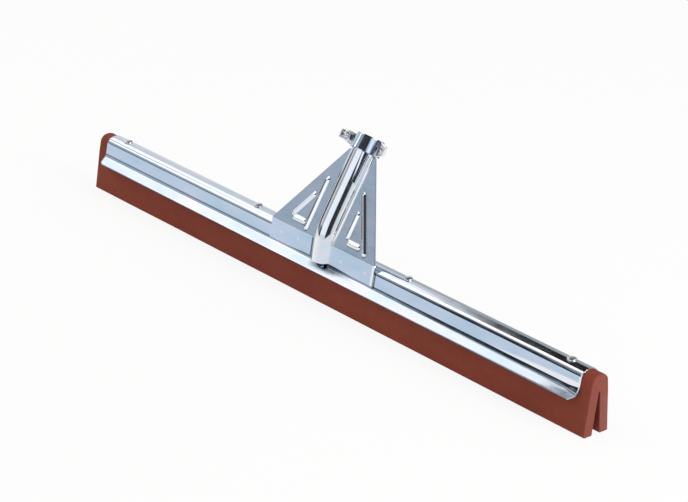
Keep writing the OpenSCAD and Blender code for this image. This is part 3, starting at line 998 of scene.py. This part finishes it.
def ramp(tree, value, stops):
    """Colours along a value."""
    node = add_node(tree, "ShaderNodeValToRGB", {0: value})
    points = node.color_ramp.elements
    while len(points) < len(stops):
        points.new(0.5)
    for point, (at, colour) in zip(points, stops):
        point.position = at
        point.color = (*colour, 1)
    return node.outputs["Color"]


def spread(tree, value, low, high):
    """Takes the middle of a cloud's span to the whole of another."""
    return map_range(tree, value, (0.3, 0.7), (low, high))


def bump(tree, height, strength, distance, before=None):
    inputs = {"Height": height, "Strength": strength, "Distance": distance}
    if before is not None:
        inputs["Normal"] = before
    return add_node(tree, "ShaderNodeBump", inputs).outputs[0]


def zinc_plate(name, tones, smooth, dull):
    """Bright zinc plating: bluish metal with cloudy tone, fine rolled grain and soft waves."""
    mat, tree, shader, where = new_material(name)
    mottle = cloud(tree, where, 60, 5, (0.35, 1, 1), 0.6)
    # Painted highlights lighten the tone, and painted shade darkens it, by the values painted on each
    # piece
    tone = blended(tree, attribute(tree, "drawn"), ramp(tree, mottle, tones),
                   ramp(tree, mottle, PAINTED_SHEEN_TONES), "RGBA")
    tone = blended(tree, attribute(tree, "fold"), tone, PAINTED_SHADE_TONE, "RGBA")
    rough = spread(tree, cloud(tree, where, 140, 4, (0.3, 1, 1)), smooth, dull)
    waves = bump(tree, cloud(tree, where, 45, 2, (0.5, 1, 1)), 0.25, 0.0004)
    grain = bump(tree, cloud(tree, where, 1500, 2, (0.08, 1, 1)), 0.12, 0.00004, waves)
    feed(tree, shader, {"Metallic": 1.0, "Base Color": tone, "Roughness": rough, "Normal": grain})
    return mat


def red_rubber():
    """Moulded red rubber: matt, slightly uneven, with fine pits; its cut ends are paler."""
    mat, tree, shader, where = new_material("red_rubber")
    moulded = ramp(tree, cloud(tree, where, 30, 6, (0.4, 1, 1), 0.6), MOULDED_TONES)
    cut = ramp(tree, cloud(tree, where, 420, 5, (1, 1, 0.12), 0.7), CUT_TONES)
    tone = blended(tree, attribute(tree, "cut_end"), moulded, cut, "RGBA")
    rough = spread(tree, cloud(tree, where, 300, 4), 0.6, 0.78)
    broad = bump(tree, cloud(tree, where, 220, 3), 0.25, 0.00025)
    pits = bump(tree, cloud(tree, where, 1800, 3), 0.3, 0.00008, broad)
    feed(tree, shader, {"Specular IOR Level": 0.25, "Base Color": tone, "Roughness": rough,
                        "Normal": pits})
    return mat


# Stage

CAMERA_AZIMUTH = math.radians(47.2)
CAMERA_ELEVATION = math.radians(23.1)
CAMERA_ROLL = math.radians(3.2)
CAMERA_TARGET = (20.2, MID_Y, 58.6)
CAMERA_DISTANCE = 2603.9
SENSOR_W = 36.0
FOCAL_PX = 2588.0
PICTURE_W_PX = 688
WHITE = (1, 1, 1, 1)
FLOOR_GREY = (0.86, 0.86, 0.86, 1)
FLOOR_GLOW = 0.88
FILL_LEVEL = 0.74
CARD_GROUND = 0.9

# Cards of the studio that gloss shows. Each has its reach across (the share of a ray's heading
# that runs along the rubber, with a soft edge), its reach over the part (degrees about the
# rubber, from the front horizon over the top to the rear, with a soft edge) and its brightness.
STUDIO_CARDS = (
    ((-1.1, 1.1, 0.05), (142, 190, 8), 0.45),
    ((-1.1, -0.68, 0.06), (120, 190, 8), 0.85),
    ((-1.1, -0.3, 0.05), (112, 142, 6), 0.8),
    ((-1.1, -0.65, 0.015), (76, 116, 5), 1.45),
    ((-0.95, -0.56, 0.04), (48, 80, 5), 0.25),
    ((-0.92, -0.5, 0.07), (20, 42, 4), 0.64),
    ((-0.92, -0.3, 0.05), (34, 44, 3), 0.55),
    ((-1.1, -0.5, 0.06), (-14, 18, 3), 0.3),
    ((-0.67, -0.5, 0.03), (-14, 18, 3), 0.03),
    ((-0.652, -0.595, 0.01), (-14, 40, 4), 0.03),
    ((-1.1, -0.91, 0.02), (-14, 34, 3), 0.05),
    ((-0.4, 0.4, 0.05), (6, 33, 3), 1.2),
    ((0.36, 0.86, 0.05), (-14, 34, 4), 0.04),
    ((-0.3, 0.7, 0.05), (36, 94, 3), 0.05),
    ((0.82, 1.1, 0.03), (34, 75, 3), 1.4),
    ((-0.632, 0.1, 0.01), (80, 143, 3), 0.02),
)


def add_camera():
    """The photograph's camera, worked out from the part's ends, lips, crown and bracket."""
    level = math.cos(CAMERA_ELEVATION)
    back = Vector((math.sin(CAMERA_AZIMUTH) * level, -math.cos(CAMERA_AZIMUTH) * level,
                   math.sin(CAMERA_ELEVATION)))
    right = Vector((math.cos(CAMERA_AZIMUTH), math.sin(CAMERA_AZIMUTH), 0))
    up = back.cross(right)
    rolled_right = math.cos(CAMERA_ROLL) * right + math.sin(CAMERA_ROLL) * up
    rolled_up = -math.sin(CAMERA_ROLL) * right + math.cos(CAMERA_ROLL) * up
    spot = Vector(CAMERA_TARGET) * MM + back * CAMERA_DISTANCE * MM
    data = bpy.data.cameras.new("camera")
    data.sensor_width = SENSOR_W
    data.lens = SENSOR_W * FOCAL_PX / PICTURE_W_PX
    data.clip_end = 50
    cam = new_object("camera", data)
    cam.matrix_world = Matrix((*zip(rolled_right, rolled_up, back, spot), (0, 0, 0, 1)))
    bpy.context.scene.camera = cam


def seen_rays(tree):
    """1 for rays that show the background: straight from the camera, by gloss or through glass."""
    path = tree.nodes.new("ShaderNodeLightPath")
    total = path.outputs["Is Camera Ray"]
    for other in ("Is Glossy Ray", "Is Transmission Ray"):
        total = maths(tree, "MAXIMUM", total, path.outputs[other])
    return total, path


def add_floor():
    """A matt floor that glows towards the camera and in gloss, so that it looks white."""
    size, z = 6.0, -0.0004
    mesh = bpy.data.meshes.new("floor")
    corners = [(-size, -size, z), (size, -size, z), (size, size, z), (-size, size, z)]
    mesh.from_pydata(corners, [], [(0, 1, 2, 3)])
    floor = new_object("floor", mesh)
    mat = bpy.data.materials.new("studio_floor")
    mat.use_nodes = True
    tree = mat.node_tree
    tree.nodes.clear()
    matt = add_node(tree, "ShaderNodeBsdfDiffuse", {"Color": FLOOR_GREY})
    white = add_node(tree, "ShaderNodeEmission", {"Strength": 1.0})
    seen, _ = seen_rays(tree)
    mix = add_node(tree, "ShaderNodeMixShader", {0: maths(tree, "MULTIPLY", seen, FLOOR_GLOW),
                                                 1: matt.outputs[0], 2: white.outputs[0]})
    add_node(tree, "ShaderNodeOutputMaterial", {0: mix.outputs[0]})
    mesh.materials.append(mat)


def within(tree, value, low, high, soft):
    """1 between two values, with soft edges."""
    rising = map_range(tree, value, (low - soft, low + soft), (0.0, 1.0), "SMOOTHSTEP")
    falling = map_range(tree, value, (high - soft, high + soft), (1.0, 0.0), "SMOOTHSTEP")
    return maths(tree, "MULTIPLY", rising, falling)


def add_world():
    """White for the camera, the studio's cards for gloss, and an even fill for other rays."""
    world = bpy.data.worlds.new("studio")
    bpy.context.scene.world = world
    world.use_nodes = True
    tree = world.node_tree
    tree.nodes.clear()
    where = tree.nodes.new("ShaderNodeTexCoord")
    axes = add_node(tree, "ShaderNodeSeparateXYZ", {0: where.outputs["Generated"]}).outputs
    over = maths(tree, "ARCTAN2", axes["Z"], maths(tree, "MULTIPLY", axes["Y"], -1.0))
    over = maths(tree, "MULTIPLY", over, math.degrees(1))
    level = CARD_GROUND
    for across, turn, brightness in STUDIO_CARDS:
        card = maths(tree, "MULTIPLY", within(tree, axes["X"], *across), within(tree, over, *turn))
        level = blended(tree, card, level, brightness)
    seen, path = seen_rays(tree)
    strength = blended(tree, path.outputs["Is Glossy Ray"], 1.0, level)
    shown = add_node(tree, "ShaderNodeBackground", {"Color": WHITE, "Strength": strength})
    fill = add_node(tree, "ShaderNodeBackground", {"Color": WHITE, "Strength": FILL_LEVEL})
    mix = add_node(tree, "ShaderNodeMixShader", {0: seen, 1: fill.outputs[0], 2: shown.outputs[0]})
    add_node(tree, "ShaderNodeOutputWorld", {0: mix.outputs[0]})


def add_softbox(name, spot, size, watts, tint):
    """A lamp in metres that looks at the part's middle."""
    data = bpy.data.lights.new(name, "AREA")
    data.shape = "RECTANGLE"
    data.size, data.size_y = size
    data.energy = watts
    data.color = tint
    lamp = new_object(name, data)
    lamp.location = spot
    aim = Vector((0, 0, 0.08)) - Vector(spot)
    lamp.rotation_euler = aim.to_track_quat("-Z", "Y").to_euler()


def main():
    add_camera()
    sheet = zinc_plate("zinc_sheet", SHEET_TONES, smooth=0.05, dull=0.11)
    steel = zinc_plate("zinc_fastener", FASTENER_TONES, smooth=0.24, dull=0.38)
    rubber = red_rubber()
    pieces = [
        (make_rubber(), "frame", "blade_rubber", "red_rubber", rubber),
        (make_channel(), "frame", "frame_channel", "zinc_sheet", sheet),
        (make_channel_rivets(steel), "frame", "channel_rivets", "zinc_fastener", steel),
        (make_rivet_washers(steel), "frame", "rivet_washers", "zinc_fastener", steel),
        (make_socket_plate(), "frame", "socket_plate", "zinc_sheet", sheet),
        (make_rear_half(), "frame", "socket_rear_half", "zinc_sheet", sheet),
        (make_strap("collar_front_band", True), "frame", "collar_front_strap", "zinc_sheet", sheet),
        (make_strap("collar_rear_band", False), "frame", "collar_rear_strap", "zinc_sheet", sheet),
        (make_collar_rivet(), "frame", "collar_rivet", "zinc_fastener", steel),
        (make_clamp_bolt(), "frame", "clamp_bolt", "zinc_fastener", steel),
        (make_clamp_washer(), "washer", "clamp_washer", "zinc_fastener", steel),
        (make_clamp_nut(), "nut", "clamp_nut", "zinc_fastener", steel),
    ]
    for piece, body, node, slot, finish in pieces:
        piece.data.materials.clear()
        piece.data.materials.append(finish)
        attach(piece, body)
        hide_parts(node)
    add_floor()
    add_world()
    add_softbox("left_softbox", spot=(-1.34, -0.72, 1.49), size=(0.85, 1.4), watts=5.9,
                tint=(1, 0.86, 0.75))
    add_softbox("right_softbox", spot=(2.0, 0.4, 1.3), size=(1.0, 1.2), watts=24,
                tint=(1, 0.97, 0.92))
    bpy.context.scene.view_settings.view_transform = "Standard"


main()
